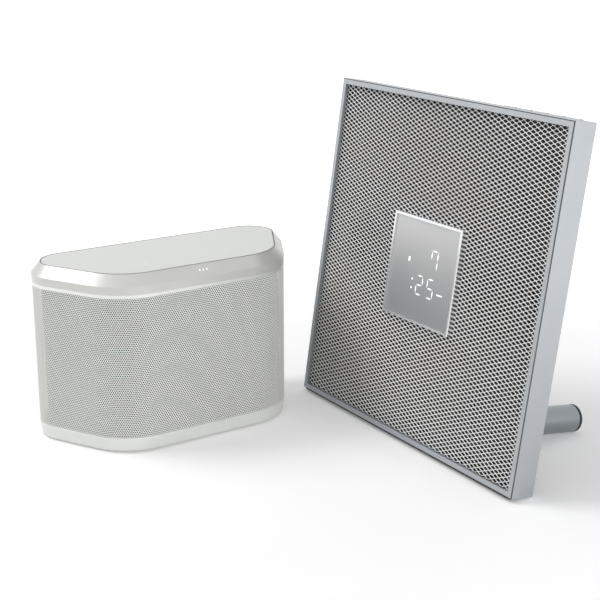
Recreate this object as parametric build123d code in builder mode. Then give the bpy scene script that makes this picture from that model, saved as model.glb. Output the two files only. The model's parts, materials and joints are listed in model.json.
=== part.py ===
from build123d import *
import math
import os

# A mini hi-fi pair: a table speaker with a rounded trapezoid plan, and a square flat
# panel player that leans back on two legs.
#
# Each unit is modelled in its own frame, in millimetres: x runs across it, y from its
# front to its back and z up. Loudspeaker drivers are turned in a frame of their own,
# with z out of the front. place() stands each finished piece in the row's frame.

# --- The row: how the two units stand -----------------------------------------------
PANEL_TURN = -90.0      # the panel faces across the speaker's right-hand end
PANEL_RIGHT = 132.7     # panel's front edge, to the right of the speaker's middle
PANEL_FORWARD = 152.3   # panel's middle, in front of the speaker's middle
PANEL_LEAN = 8.5        # degrees that the panel leans back

# --- Speaker: outside ------------------------------------------------------------------
DEPTH = 113.0
BACK_WIDTH = 287.5      # where the slanting sides would meet the back's line
FRONT_WIDTH = 160.0     # where they would meet the front's line
REAR_CORNER = 31.5      # corner radii in plan
FRONT_CORNER = 53.5
FOOT_HEIGHT = 2.0
BASE_TOP = 12.0
TRIM_HEIGHT = 2.0       # bright strip between base and grille
GRILLE_TOP = 137.6
LIP_HEIGHT = 3.0        # bright strip between grille and top ring
BEVEL_LOW = 147.6
SPEAKER_TOP = 157.0
BEVEL_INSET = 8.0       # how far the bevel runs inwards
BASE_TUCK = 1.5         # how far the base draws in towards the floor

# --- Speaker: inside -------------------------------------------------------------------
BASE_WALL = 4.0
BASE_FLOOR = 2.5
TRIM_WIDTH = 3.0
GRILLE_SET = 0.3        # grille's outside, inside the trim's
GRILLE_THICK = 1.0
CABINET_INSET = 7.0
CABINET_WALL = 3.5
CABINET_BACK = 84.0
BOARD_GAP = 4.0         # from the cabinet's back to the circuit boards
BOARD_THICK = 1.6
REAR_COVER_HALF = 80.0
REAR_COVER_THICK = 3.0
RING_FLANGE = 2.0
RING_WALL = 3.2
PANEL_GAP = 0.5         # running line round the touch panel
TOP_LAND = 0.4          # flat rim between the bevel and that line
TOUCH_THICK = 2.5
LEDGE_WIDTH = 5.0
LEDGE_THICK = 3.0
WOOFER_HEIGHT = 59.5
TWEETER_HEIGHT = 121.0
RADIATOR_HEIGHT = 70.0
RADIATOR_LONG = 84.0    # opening of a passive radiator
RADIATOR_WIDE = 30.0
RADIATOR_RIM = 5.0
RADIATOR_FRAME_THICK = 2.0

# --- Panel player ------------------------------------------------------------------------
SIDE = 296.0
FRAME_DEPTH = 23.0
LIP_WIDE = 5.0          # bezel seen from the front
LIP_THICK = 3.0
FRAME_WALL = 2.4
EDGE_CHAMFER = 0.8
MESH_THICK = 1.2
BAFFLE_FRONT = 8.0
BAFFLE_THICK = 8.0
RIM_WIDE = 4.0
COVER_PLATE = 2.5
COVER_HALF = 124.0      # the hump on the back
COVER_LOW = 16.0
COVER_HIGH = 272.0
COVER_DEPTH = 49.0
COVER_WALL = 2.5
COVER_CORNER = 8.0
DISPLAY = 90.0
DISPLAY_BEZEL = 2.3
DISPLAY_RECESS = 1.6
WINDOW_THICK = 2.0
DISPLAY_LEDGE = 2.2
DRIVER_ACROSS = 88.0    # woofers, from the panel's middle
TWEETER_ABOVE = 68.0
LEG_ACROSS = 66.0
LEG_RADIUS = 12.3
LEG_REACH = 142.4       # leg's end, behind the panel's front
LEG_CAP = 3.0
STUD_RADIUS = 4.0
STUD_LENGTH = 9.0
STRIP_THICK = 1.0
STRIP_BACK = FRAME_DEPTH - 4.6   # where the rubber strip under the frame ends
BUTTON_LONG = 13.4
BUTTON_WIDE = 3.6
BUTTON_PROUD = 0.8
BUTTON_TRAVEL = 0.6
BUTTON_PITCH = 18.0
BUTTON_FIRST = 58.0

# --- Fits ------------------------------------------------------------------------------------
LOOSE = 0.3             # round a moving piece
SNUG = 0.1              # round a fixed piece
CONE_TRAVEL = 2.0       # each way, every woofer

panel_middle = SIDE / 2
lean = math.radians(PANEL_LEAN)
slope = math.atan2((BACK_WIDTH - FRONT_WIDTH) / 2, DEPTH)

# The panel stands on the back edge of its rubber strip, and on the ends of its legs.
panel_rise = STRIP_BACK * math.sin(lean) + STRIP_THICK * math.cos(lean)
leg_height = LEG_RADIUS + (LEG_REACH * math.sin(lean) - panel_rise) / math.cos(lean)

SPEAKER = Location((0, -DEPTH / 2, 0))
PANEL = (
    Location((PANEL_RIGHT, -PANEL_FORWARD, panel_rise), (0, 0, PANEL_TURN))
    * Location((0, 0, 0), (-PANEL_LEAN, 0, 0))
)

row = []


def place(builder, seat):
    """Stand a finished, labelled piece at its seat in the row."""
    piece = builder.part.moved(seat)
    piece.label = builder.part.label
    row.append(piece)


# --- Shapes that come up more than once -------------------------------------------------------
def speaker_plan(height, inset=0.0, back=DEPTH):
    """The speaker's outline at a height, drawn in by an inset and cut off at a back."""
    with BuildSketch(Plane.XY.offset(height)) as plan:
        with BuildLine():
            Polyline(
                (-FRONT_WIDTH / 2, 0), (FRONT_WIDTH / 2, 0),
                (BACK_WIDTH / 2, DEPTH), (-BACK_WIDTH / 2, DEPTH), close=True,
            )
        make_face()
        fillet(plan.vertices().group_by(Axis.Y)[0], FRONT_CORNER)
        fillet(plan.vertices().group_by(Axis.Y)[-1], REAR_CORNER)
        if inset:
            offset(amount=-inset)
        if back < DEPTH:
            with Locations((0, back)):
                Rectangle(BACK_WIDTH, DEPTH, align=(Align.CENTER, Align.MIN), mode=Mode.SUBTRACT)
    return plan.sketch


def band(low, high, outer, inner):
    """A wall that follows the speaker's outline between two insets."""
    extrude(speaker_plan(low, outer), amount=high - low)
    extrude(speaker_plan(low, inner), amount=high - low, mode=Mode.SUBTRACT)


def block(x, y, z, mode=Mode.ADD):
    """A box between two x, two y and two z values."""
    with Locations(((x[0] + x[1]) / 2, (y[0] + y[1]) / 2, (z[0] + z[1]) / 2)):
        Box(x[1] - x[0], y[1] - y[0], z[1] - z[0], mode=mode)


def rod(x, z, radius, front, back, mode=Mode.ADD):
    """A round bar or hole along y."""
    with Locations(Location((x, (front + back) / 2, z), (90, 0, 0))):
        Cylinder(radius, back - front, mode=mode)


def square_ring(outer, inner, front, back):
    """A square frame about the panel's middle, from a front to a back."""
    middle = (front + back) / 2
    with Locations((0, middle, panel_middle)):
        Box(outer, back - front, outer)
        Box(inner, back - front, inner, mode=Mode.SUBTRACT)


def turned(*outline):
    """A round piece, turned about z from its outline of (radius, height) points."""
    with BuildSketch(Plane.XZ) as section:
        with BuildLine():
            Polyline(*outline, close=True)
        make_face()
    revolve(section.sketch, axis=Axis.Z)


# --- Loudspeaker drivers: z = 0 is where the flange meets the baffle ------------------------------
FLANGE_THICK = 2.0
SHEET = 1.5
NECK = 5.0
COIL_INSIDE = 10.0
COIL_OUTSIDE = 11.4
COIL_GAP = 0.8
COIL_REACH = 3.0        # how far the coil hangs below the magnet's top
COIL_FLOOR = 1.5        # left under the coil at its lowest
SHELL_OVER_CONE = 3.5


def basket(flange, cone, depth, magnet):
    """The pressed-steel frame that holds a cone and its magnet."""
    shell = cone + SHELL_OVER_CONE
    neck = magnet + 2
    bore = COIL_OUTSIDE + COIL_GAP
    turned(
        (cone + LOOSE, FLANGE_THICK), (flange, FLANGE_THICK), (flange, 0), (shell, 0),
        (shell, -NECK), (neck, -depth), (bore, -depth), (bore, -depth + SHEET),
        (neck - SHEET, -depth + SHEET), (shell - SHEET, -NECK), (shell - SHEET, 0),
        (cone + LOOSE, 0),
    )


def moving_cone(cone, depth):
    """Surround, cone, dust cap and voice coil, which move as one."""
    waist = -depth / 2
    turned(
        (cone, 0.9), (cone - 1.5, 0.9), (cone - 2.6, 1.4), (cone - 4.6, 1.4), (cone - 5.8, 0.6),
        (COIL_OUTSIDE, waist), (COIL_OUTSIDE / 2, waist + 3), (0, waist + 4),
        (0, waist + 3), (COIL_OUTSIDE / 2, waist + 2), (COIL_INSIDE, waist - 0.4),
        (COIL_INSIDE, -depth - COIL_REACH), (COIL_OUTSIDE, -depth - COIL_REACH),
        (COIL_OUTSIDE, waist - 1.2), (cone - 5.8, -0.4), (cone - 4.6, 0.4), (cone - 2.6, 0.4),
        (cone - 1.5, 0),
    )


def pot_magnet(depth, magnet, thickness):
    """Ring magnet, back plate and pole, with the round gap that the coil runs in."""
    floor = -depth - COIL_REACH - CONE_TRAVEL - COIL_FLOOR
    turned(
        (0, -depth), (COIL_INSIDE - COIL_GAP, -depth), (COIL_INSIDE - COIL_GAP, floor),
        (COIL_OUTSIDE + COIL_GAP, floor), (COIL_OUTSIDE + COIL_GAP, -depth),
        (magnet, -depth), (magnet, -depth - thickness), (0, -depth - thickness),
    )


def dome_tweeter(plate, body, depth):
    """A small dome, its face plate and its can."""
    turned(
        (0, 2.2), (3.5, 1.7), (6, 0.4), (8, 0.4), (9.5, 1.5), (plate, 1.5), (plate, 0),
        (body, 0), (body, -depth), (0, -depth),
    )


FACING_FRONT = (90, 0, 0)   # turns a driver's z to look out of a unit's front


# ================================= Speaker unit =================================
WOOFER_FLANGE = 45.0
WOOFER_CONE = 35.0
WOOFER_DEPTH = 28.0
WOOFER_MAGNET = 29.0
WOOFER_MAGNET_THICK = 14.0
TWEETER_PLATE = 14.5
TWEETER_BODY = 11.0
TWEETER_DEPTH = 12.0

base_floor = FOOT_HEIGHT + BASE_FLOOR
grille_low = BASE_TOP + TRIM_HEIGHT
ring_low = GRILLE_TOP + LIP_HEIGHT
board_front = CABINET_BACK + BOARD_GAP
board_back = board_front + BOARD_THICK
cover_front = DEPTH - REAR_COVER_THICK
touch_inset = BEVEL_INSET + TOP_LAND + PANEL_GAP
ledge_top = SPEAKER_TOP - TOUCH_THICK

# The middle of each slanting side's flat stretch, on the cabinet's outside
front_tangent = FRONT_CORNER / math.tan(math.radians(90) - (math.pi / 2 - slope) / 2)
rear_tangent = REAR_CORNER / math.tan((math.pi / 2 - slope) / 2)
side_length = math.hypot(DEPTH, (BACK_WIDTH - FRONT_WIDTH) / 2)
flat_middle = (front_tangent + side_length - rear_tangent) / 2


def side_plane(hand, inset):
    """A plane on one slanting side (hand -1 left, 1 right), z outwards and x along the side."""
    along = Vector(hand * math.sin(slope), math.cos(slope), 0)
    outwards = Vector(hand * math.cos(slope), -math.sin(slope), 0)
    corner = Vector(hand * FRONT_WIDTH / 2, 0, RADIATOR_HEIGHT)
    return Plane(corner + along * flat_middle - outwards * inset, x_dir=along, z_dir=outwards)


def slot(plane, grow, amount, mode=Mode.ADD):
    """An upright round-ended block on a side plane, grown all round from the radiator's opening."""
    with BuildSketch(plane) as oval:
        SlotOverall(RADIATOR_LONG + 2 * grow, RADIATOR_WIDE + 2 * grow, rotation=90)
    extrude(oval.sketch, amount=amount, mode=mode)


# Feet
FOOT_RADIUS = 9.0
FOOT_PLACES = ((85, 88), (44, 26))   # across and back, on both sides
with BuildPart() as speaker_foot_pads:
    for across, back in FOOT_PLACES:
        with Locations((-across, back, FOOT_HEIGHT / 2), (across, back, FOOT_HEIGHT / 2)):
            Cylinder(FOOT_RADIUS, FOOT_HEIGHT)
    chamfer(speaker_foot_pads.edges().group_by(Axis.Z)[0], 0.5)
speaker_foot_pads.part.label = "speaker_foot_pads"
place(speaker_foot_pads, SPEAKER)

# Base: a tray that the cabinet stands in
with BuildPart() as speaker_base:
    loft(sections=[speaker_plan(FOOT_HEIGHT, BASE_TUCK).faces()[0], speaker_plan(BASE_TOP).faces()[0]])
    extrude(speaker_plan(base_floor, BASE_WALL), amount=BASE_TOP, mode=Mode.SUBTRACT)
speaker_base.part.label = "speaker_base"
place(speaker_base, SPEAKER)

# Bright strip on top of the base
with BuildPart() as speaker_lower_trim:
    band(BASE_TOP, grille_low, 0, TRIM_WIDTH)
speaker_lower_trim.part.label = "speaker_lower_trim"
place(speaker_lower_trim, SPEAKER)

# Grille: one wrapped sheet, open across the rear cover
with BuildPart() as speaker_grille:
    band(grille_low, GRILLE_TOP, GRILLE_SET, GRILLE_SET + GRILLE_THICK)
    opening = REAR_COVER_HALF + SNUG
    block((-opening, opening), (DEPTH / 2, DEPTH), (0, SPEAKER_TOP), Mode.SUBTRACT)
speaker_grille.part.label = "speaker_grille"
place(speaker_grille, SPEAKER)

# Bright strip on top of the grille
with BuildPart() as speaker_upper_trim:
    band(GRILLE_TOP, ring_low, 0, TRIM_WIDTH)
speaker_upper_trim.part.label = "speaker_upper_trim"
place(speaker_upper_trim, SPEAKER)

# Cabinet: the closed box behind the grille, with posts for the boards and the rear cover
BOSS_RADIUS = 3.0
POST_RADIUS = 4.0
SCREW_RADIUS = 1.5
SCREW_LENGTH = 9.0
HEAD_RADIUS = 2.9
HEAD_THICK = 1.4
CROSS_LONG = 1.8        # half sizes of a screw's cross, and its depth
CROSS_NARROW = 0.35
CROSS_DEEP = 0.8
MAIN_BOARD = ((-72.0, -2.0), (20.0, 122.0))
POWER_BOARD = ((6.0, 72.0), (20.0, 122.0))
BOARD_EDGE = 5.0
POST_ACROSS = 76.0
POST_HEIGHTS = (24.0, 128.0)


def board_corners(board):
    """Where a board's four bosses stand."""
    (left, right), (low, high) = board
    return [(x, z) for x in (left + BOARD_EDGE, right - BOARD_EDGE)
            for z in (low + BOARD_EDGE, high - BOARD_EDGE)]


speaker_screw_places = [(x, z) for x in (-POST_ACROSS, POST_ACROSS) for z in POST_HEIGHTS]
woofer_hole = WOOFER_CONE + SHELL_OVER_CONE + LOOSE

with BuildPart() as speaker_cabinet:
    extrude(speaker_plan(base_floor, CABINET_INSET, CABINET_BACK), amount=ring_low - base_floor)
    extrude(
        speaker_plan(base_floor + CABINET_WALL, CABINET_INSET + CABINET_WALL,
                     CABINET_BACK - CABINET_WALL),
        amount=ring_low - base_floor - 2 * CABINET_WALL, mode=Mode.SUBTRACT,
    )
    rod(0, WOOFER_HEIGHT, woofer_hole, 0, CABINET_INSET + CABINET_WALL + 1, Mode.SUBTRACT)
    rod(0, TWEETER_HEIGHT, TWEETER_BODY + LOOSE, 0, CABINET_INSET + CABINET_WALL + 1, Mode.SUBTRACT)
    for hand in (-1, 1):
        slot(side_plane(hand, CABINET_INSET), LOOSE, -CABINET_WALL - 1, Mode.SUBTRACT)
    for x, z in board_corners(MAIN_BOARD) + board_corners(POWER_BOARD):
        rod(x, z, BOSS_RADIUS, CABINET_BACK, board_front)
    for x, z in speaker_screw_places:
        rod(x, z, POST_RADIUS, CABINET_BACK, cover_front)
        rod(x, z, SCREW_RADIUS + SNUG, cover_front - SCREW_LENGTH, cover_front, Mode.SUBTRACT)
speaker_cabinet.part.label = "speaker_cabinet"
place(speaker_cabinet, SPEAKER)

# Drivers behind the front of the grille
woofer_seat = SPEAKER * Location((0, CABINET_INSET, WOOFER_HEIGHT), FACING_FRONT)

with BuildPart() as speaker_woofer_frame:
    basket(WOOFER_FLANGE, WOOFER_CONE, WOOFER_DEPTH, WOOFER_MAGNET)
speaker_woofer_frame.part.label = "speaker_woofer_frame"
place(speaker_woofer_frame, woofer_seat)

with BuildPart() as speaker_woofer_cone:
    moving_cone(WOOFER_CONE, WOOFER_DEPTH)
speaker_woofer_cone.part.label = "speaker_woofer_cone"
place(speaker_woofer_cone, woofer_seat)

with BuildPart() as speaker_woofer_magnet:
    pot_magnet(WOOFER_DEPTH, WOOFER_MAGNET, WOOFER_MAGNET_THICK)
speaker_woofer_magnet.part.label = "speaker_woofer_magnet"
place(speaker_woofer_magnet, woofer_seat)

with BuildPart() as speaker_tweeter:
    dome_tweeter(TWEETER_PLATE, TWEETER_BODY, TWEETER_DEPTH)
speaker_tweeter.part.label = "speaker_tweeter"
place(speaker_tweeter, SPEAKER * Location((0, CABINET_INSET, TWEETER_HEIGHT), FACING_FRONT))

# Passive radiators: a fixed frame and a sprung plate on each slanting side
with BuildPart() as speaker_radiator_frames:
    for hand in (-1, 1):
        seat = side_plane(hand, CABINET_INSET)
        slot(seat, RADIATOR_RIM, RADIATOR_FRAME_THICK)
        slot(seat, 0, RADIATOR_FRAME_THICK, Mode.SUBTRACT)
speaker_radiator_frames.part.label = "speaker_radiator_frames"
place(speaker_radiator_frames, SPEAKER)

RADIATOR_PLATE = 1.2
RADIATOR_WEIGHT = 2.4   # thicker middle that tunes the plate
RADIATOR_SURROUND = 6.0
for hand, name in ((-1, "left"), (1, "right")):
    with BuildPart() as radiator:
        slot(side_plane(hand, CABINET_INSET), -LOOSE, RADIATOR_PLATE)
        slot(side_plane(hand, CABINET_INSET), -RADIATOR_SURROUND, -RADIATOR_WEIGHT)
    radiator.part.label = f"speaker_radiator_{name}"
    place(radiator, SPEAKER)

# Top ring: an upright band, a bevel and the ledge that carries the touch panel
hollow_low = ring_low + RING_FLANGE
hollow_turn = BEVEL_LOW - 1.5
hollow_high = ledge_top - LEDGE_THICK
LIGHTS_ACROSS = 3.4
LIGHT_RADIUS = 0.8
LIGHT_DEPTH = 2.5
bevel_angle = math.degrees(math.atan2(SPEAKER_TOP - BEVEL_LOW, BEVEL_INSET))
bevel_middle = Location(
    (0, BEVEL_INSET / 2, (BEVEL_LOW + SPEAKER_TOP) / 2), (bevel_angle, 0, 0)
)

with BuildPart() as speaker_top_ring:
    extrude(speaker_plan(ring_low), amount=BEVEL_LOW - ring_low)
    loft(sections=[speaker_plan(BEVEL_LOW).faces()[0],
                   speaker_plan(SPEAKER_TOP, BEVEL_INSET).faces()[0]])
    extrude(speaker_plan(ledge_top, BEVEL_INSET + TOP_LAND), amount=TOUCH_THICK, mode=Mode.SUBTRACT)
    extrude(speaker_plan(ring_low, touch_inset + LEDGE_WIDTH), amount=ledge_top - ring_low,
            mode=Mode.SUBTRACT)
    extrude(speaker_plan(hollow_low, RING_WALL), amount=hollow_turn - hollow_low, mode=Mode.SUBTRACT)
    loft(sections=[speaker_plan(hollow_turn, RING_WALL).faces()[0],
                   speaker_plan(hollow_high, touch_inset).faces()[0]], mode=Mode.SUBTRACT)
    with Locations(bevel_middle):
        with Locations([(i * LIGHTS_ACROSS, 0, 0) for i in (-1, 0, 1)]):
            Cylinder(LIGHT_RADIUS + SNUG, 2 * LIGHT_DEPTH, mode=Mode.SUBTRACT)
speaker_top_ring.part.label = "speaker_top_ring"
place(speaker_top_ring, SPEAKER)

with BuildPart() as speaker_status_lights:
    with Locations(bevel_middle):
        with Locations([(i * LIGHTS_ACROSS, 0, -LIGHT_DEPTH / 2) for i in (-1, 0, 1)]):
            Cylinder(LIGHT_RADIUS, LIGHT_DEPTH)
speaker_status_lights.part.label = "speaker_status_lights"
place(speaker_status_lights, SPEAKER)

with BuildPart() as speaker_top_panel:
    extrude(speaker_plan(ledge_top, touch_inset), amount=TOUCH_THICK)
    chamfer(speaker_top_panel.edges().group_by(Axis.Z)[-1], 0.3)
speaker_top_panel.part.label = "speaker_top_panel"
place(speaker_top_panel, SPEAKER)

# Touch sensor board, bonded under the front half of the touch panel
TOUCH_BOARD = ((-62.0, 62.0), (22.0, 58.0))
TOUCH_CHIPS = ((-39, 49), (-13, 49), (13, 49), (39, 49))
TOUCH_CHIP_HALF = 3.0
TOUCH_CHIP_THICK = 1.2
with BuildPart() as speaker_touch_board:
    block(*TOUCH_BOARD, (ledge_top - BOARD_THICK, ledge_top))
    chip_top = ledge_top - BOARD_THICK
    for x, y in TOUCH_CHIPS:
        block((x - TOUCH_CHIP_HALF, x + TOUCH_CHIP_HALF), (y - TOUCH_CHIP_HALF, y + TOUCH_CHIP_HALF),
              (chip_top - TOUCH_CHIP_THICK, chip_top))
speaker_touch_board.part.label = "speaker_touch_board"
place(speaker_touch_board, SPEAKER)

# Circuit boards, upright behind the cabinet
JACK_HEIGHT = 38.0
NETWORK_ACROSS = -30.0
NETWORK_SIZE = (16.0, 13.6)
NETWORK_OPENING = (11.8, 8.4)
SOCKET_DEPTH = 12.0
INLET_ACROSS = 38.0
INLET_SIZE = (27.0, 18.0)
INLET_OPENING = (18.0, 11.0)
PIN_ACROSS = 4.3
PIN_RADIUS = 1.2
PIN_SUNK = 2.0
PRESS_ACROSS = -54.0
SWITCH_HALF = 3.0
# Parts on the boards: x, z and how far they stand out
MAIN_CHIPS = (((-48, -28), (64, 84), 1.6), ((-24, -12), (70, 82), 1.2), ((-60, -20), (94, 112), 2.4))
POWER_PARTS = (((18, 42), (62, 84), 12), ((14, 64), (96, 102), 10))
CAPACITOR_RADIUS = 4.5
POWER_CAPACITORS = ((52, 70), (62, 70))
CAPACITOR_HIGH = 14.0
PRESS_RADIUS = 2.6
SWITCH_THICK = 3.2
SWITCH_GAP = BUTTON_TRAVEL + LOOSE

with BuildPart() as speaker_main_board:
    (left, right), (low, high) = MAIN_BOARD
    block((left, right), (board_front, board_back), (low, high))
    for x, z, high in MAIN_CHIPS:
        block(x, (board_back, board_back + high), z)
    block((PRESS_ACROSS - SWITCH_HALF, PRESS_ACROSS + SWITCH_HALF),
          (board_back, board_back + SWITCH_THICK),
          (JACK_HEIGHT - SWITCH_HALF, JACK_HEIGHT + SWITCH_HALF))
speaker_main_board.part.label = "speaker_main_board"
place(speaker_main_board, SPEAKER)

with BuildPart() as speaker_power_board:
    (left, right), (low, high) = POWER_BOARD
    block((left, right), (board_front, board_back), (low, high))
    for x, z, high in POWER_PARTS:
        block(x, (board_back, board_back + high), z)
    for x, z in POWER_CAPACITORS:
        rod(x, z, CAPACITOR_RADIUS, board_back, board_back + CAPACITOR_HIGH)
speaker_power_board.part.label = "speaker_power_board"
place(speaker_power_board, SPEAKER)


def network_socket(x, z, front, back):
    """A shielded network socket that opens backwards, with its keyway and contact comb."""
    wide, high = NETWORK_SIZE
    mouth_wide, mouth_high = NETWORK_OPENING
    block((x - wide / 2, x + wide / 2), (front, back), (z - high / 2, z + high / 2))
    block((x - mouth_wide / 2, x + mouth_wide / 2), (back - SOCKET_DEPTH, back),
          (z - mouth_high / 2 + 1, z + mouth_high / 2 + 1), Mode.SUBTRACT)
    block((x - 3, x + 3), (back - SOCKET_DEPTH, back), (z - mouth_high / 2 - 1, z), Mode.SUBTRACT)
    block((x - 4, x + 4), (back - SOCKET_DEPTH, back - 4),
          (z + mouth_high / 2 - 0.2, z + mouth_high / 2 + 1))


with BuildPart() as speaker_network_jack:
    network_socket(NETWORK_ACROSS, JACK_HEIGHT, board_back, DEPTH)
speaker_network_jack.part.label = "speaker_network_jack"
place(speaker_network_jack, SPEAKER)

with BuildPart() as speaker_mains_inlet:
    wide, high = INLET_SIZE
    mouth_wide, mouth_high = INLET_OPENING
    block((INLET_ACROSS - wide / 2, INLET_ACROSS + wide / 2), (board_back, DEPTH),
          (JACK_HEIGHT - high / 2, JACK_HEIGHT + high / 2))
    with BuildSketch(Plane.XZ.offset(-DEPTH)) as mouth:
        with Locations((INLET_ACROSS, JACK_HEIGHT)):
            SlotOverall(mouth_wide, mouth_high)
    extrude(mouth.sketch, amount=SOCKET_DEPTH, mode=Mode.SUBTRACT)
    for x in (INLET_ACROSS - PIN_ACROSS, INLET_ACROSS + PIN_ACROSS):
        rod(x, JACK_HEIGHT, PIN_RADIUS, DEPTH - SOCKET_DEPTH, DEPTH - PIN_SUNK)
speaker_mains_inlet.part.label = "speaker_mains_inlet"
place(speaker_mains_inlet, SPEAKER)

# Rear cover, with a boss for a wall bracket's screw
INSERT_HEIGHT = 100.0
INSERT_RADIUS = 5.0
INSERT_LENGTH = 10.0
INSERT_WALL = 2.5
INSERT_FLOOR = 2.0
THREAD_RADIUS = 3.175
with BuildPart() as speaker_rear_cover:
    block((-REAR_COVER_HALF, REAR_COVER_HALF), (cover_front, DEPTH), (grille_low, GRILLE_TOP))
    rod(0, INSERT_HEIGHT, INSERT_RADIUS + INSERT_WALL, DEPTH - INSERT_LENGTH - INSERT_FLOOR, cover_front)
    rod(0, INSERT_HEIGHT, INSERT_RADIUS + SNUG, DEPTH - INSERT_LENGTH, DEPTH, Mode.SUBTRACT)
    for x, size in ((NETWORK_ACROSS, NETWORK_SIZE), (INLET_ACROSS, INLET_SIZE)):
        half_wide = size[0] / 2 + SNUG
        half_high = size[1] / 2 + SNUG
        block((x - half_wide, x + half_wide), (cover_front, DEPTH),
              (JACK_HEIGHT - half_high, JACK_HEIGHT + half_high), Mode.SUBTRACT)
    rod(PRESS_ACROSS, JACK_HEIGHT, PRESS_RADIUS + LOOSE, cover_front, DEPTH, Mode.SUBTRACT)
    for x, z in speaker_screw_places:
        rod(x, z, SCREW_RADIUS + SNUG, cover_front, DEPTH, Mode.SUBTRACT)
        rod(x, z, HEAD_RADIUS + SNUG, DEPTH - HEAD_THICK, DEPTH, Mode.SUBTRACT)
speaker_rear_cover.part.label = "speaker_rear_cover"
place(speaker_rear_cover, SPEAKER)

with BuildPart() as speaker_wall_insert:
    rod(0, INSERT_HEIGHT, INSERT_RADIUS, DEPTH - INSERT_LENGTH, DEPTH)
    rod(0, INSERT_HEIGHT, THREAD_RADIUS, DEPTH - INSERT_LENGTH, DEPTH, Mode.SUBTRACT)
speaker_wall_insert.part.label = "speaker_wall_insert"
place(speaker_wall_insert, SPEAKER)

# Connect button, proud of the rear cover, over its switch
press_front = board_back + SWITCH_THICK + SWITCH_GAP
with BuildPart() as speaker_connect_button:
    rod(PRESS_ACROSS, JACK_HEIGHT, PRESS_RADIUS, press_front, DEPTH + BUTTON_PROUD)
    rod(PRESS_ACROSS, JACK_HEIGHT, PRESS_RADIUS + 1, press_front, press_front + 1.5)
speaker_connect_button.part.label = "speaker_connect_button"
place(speaker_connect_button, SPEAKER)


def screw(x, z, back, length):
    """A cross-head screw driven forwards: the head ends at back, the shank goes on by length."""
    under = back - HEAD_THICK
    rod(x, z, HEAD_RADIUS, under, back)
    rod(x, z, SCREW_RADIUS, under - length, under)
    for wide, high in ((CROSS_LONG, CROSS_NARROW), (CROSS_NARROW, CROSS_LONG)):
        block((x - wide, x + wide), (back - CROSS_DEEP, back), (z - high, z + high), Mode.SUBTRACT)


with BuildPart() as speaker_screws:
    for x, z in speaker_screw_places:
        screw(x, z, DEPTH, SCREW_LENGTH)
speaker_screws.part.label = "speaker_screws"
place(speaker_screws, SPEAKER)


# ================================= Panel player =================================
PANEL_FLANGE = 42.0
PANEL_CONE = 33.0
PANEL_DRIVER_DEPTH = 18.0
PANEL_MAGNET = 26.0
PANEL_MAGNET_THICK = 12.0
PANEL_TWEETER_PLATE = 18.0
PANEL_TWEETER_BODY = 13.0
PANEL_TWEETER_DEPTH = 14.0
SLOT_FRONT = 16.0       # the gap behind the baffle that the top buttons drop into

inside = SIDE - 2 * FRAME_WALL - 2 * SNUG
mesh_back = LIP_THICK + MESH_THICK
baffle_back = BAFFLE_FRONT + BAFFLE_THICK
plate_front = FRAME_DEPTH - COVER_PLATE
button_middle = (SLOT_FRONT + plate_front) / 2
button_across = [BUTTON_FIRST + i * BUTTON_PITCH for i in range(5)]
frame_inside_top = SIDE - FRAME_WALL
BUTTON_BOARD_TOP = 282.6
SWITCH_TOP = 285.4
BUTTON_FOOT = 2.0       # thickness of a button's head under the frame, and half its stem
STRIP_SHORT = 3.0       # how much shorter than the frame its rubber strip is, at each end

# Frame: a square aluminium profile with a front lip and sharp polished edges
with BuildPart() as panel_frame:
    square_ring(SIDE, SIDE - 2 * LIP_WIDE, 0, LIP_THICK)
    square_ring(SIDE, SIDE - 2 * FRAME_WALL, LIP_THICK, FRAME_DEPTH)
    outline = panel_frame.faces().sort_by(Axis.Y)[0].outer_wire().edges()
    chamfer(outline, EDGE_CHAMFER)
    for x in button_across:
        half_long = BUTTON_LONG / 2 + LOOSE
        half_wide = BUTTON_WIDE / 2 + LOOSE
        block((x - half_long, x + half_long), (button_middle - half_wide, button_middle + half_wide),
              (frame_inside_top - 1, SIDE), Mode.SUBTRACT)
panel_frame.part.label = "panel_frame"
place(panel_frame, PANEL)

# Expanded-metal mesh, as a plain sheet with the display's window
with BuildPart() as panel_mesh:
    square_ring(inside, DISPLAY + 2 * LOOSE, LIP_THICK, mesh_back)
panel_mesh.part.label = "panel_mesh"
place(panel_mesh, PANEL)

# Baffle: the board that carries the drivers, with a raised rim behind the mesh
DISPLAY_SEAT = 7.0       # how far the baffle reaches in under the display's bezel
display_hole = DISPLAY - 2 * DISPLAY_SEAT
driver_places = [(-DRIVER_ACROSS, panel_middle), (DRIVER_ACROSS, panel_middle)]
tweeter_places = [(x, z + TWEETER_ABOVE) for x, z in driver_places]
PANEL_SCREW_ACROSS = 134.0
PANEL_SCREW_HEIGHTS = (40.0, panel_middle, 256.0)
panel_screw_places = [(x, z) for x in (-PANEL_SCREW_ACROSS, PANEL_SCREW_ACROSS)
                      for z in PANEL_SCREW_HEIGHTS]
PANEL_SCREW_BITE = 6.0   # how far its thread goes into the baffle
with BuildPart() as panel_baffle:
    square_ring(inside, display_hole, BAFFLE_FRONT, baffle_back)
    square_ring(inside, inside - 2 * RIM_WIDE, mesh_back, BAFFLE_FRONT)
    for x, z in driver_places:
        rod(x, z, PANEL_CONE + SHELL_OVER_CONE + LOOSE, BAFFLE_FRONT, baffle_back, Mode.SUBTRACT)
    for x, z in tweeter_places:
        rod(x, z, PANEL_TWEETER_BODY + SNUG, BAFFLE_FRONT, baffle_back, Mode.SUBTRACT)
    for x, z in panel_screw_places:
        rod(x, z, SCREW_RADIUS + SNUG, baffle_back - PANEL_SCREW_BITE, baffle_back, Mode.SUBTRACT)
panel_baffle.part.label = "panel_baffle"
place(panel_baffle, PANEL)

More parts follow.
